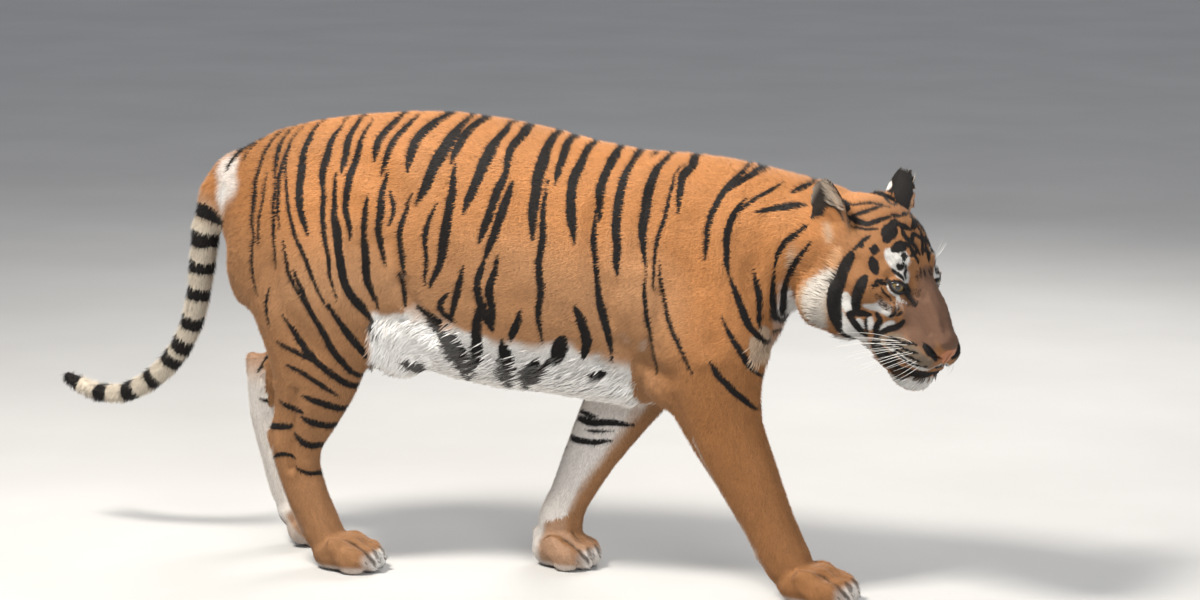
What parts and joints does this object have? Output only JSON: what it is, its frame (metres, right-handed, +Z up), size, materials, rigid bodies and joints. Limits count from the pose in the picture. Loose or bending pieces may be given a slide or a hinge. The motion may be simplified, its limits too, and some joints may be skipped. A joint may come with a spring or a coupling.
{
  "type": "tiger model",
  "caption": "Life-size standing tiger in mid stride, head low and turned to its right, tail hanging and curved up at the tip; a still museum model.",
  "frame": {"origin": "on the floor, under the middle of the box round the whole animal", "axes": "+X towards the head, along the body; +Y to the animal's left; +Z up"},
  "size_m": [1.9788, 0.3598, 0.9296],
  "materials": {
    "coat": "short orange-tan fur with narrow black stripes, white under the belly and on the face",
    "eyes": "glossy amber-olive eyes with round black pupils"
  },
  "bodies": {
    "root": {"abdomen": "coat", "chest": "coat", "ear_left": "coat", "ear_right": "coat", "eye_left": "eyes", "eye_right": "eyes", "forearm_left": "coat", "forearm_right": "coat", "forepaw_left": "coat", "forepaw_right": "coat", "head": "coat", "hindpaw_left": "coat", "hindpaw_right": "coat", "metatarsus_left": "coat", "metatarsus_right": "coat", "neck": "coat", "rump": "coat", "shank_left": "coat", "shank_right": "coat", "tail_1": "coat", "tail_2": "coat", "tail_3": "coat", "tail_4": "coat", "thigh_left": "coat", "thigh_right": "coat", "upper_arm_left": "coat", "upper_arm_right": "coat"}
  },
  "joints": []
}
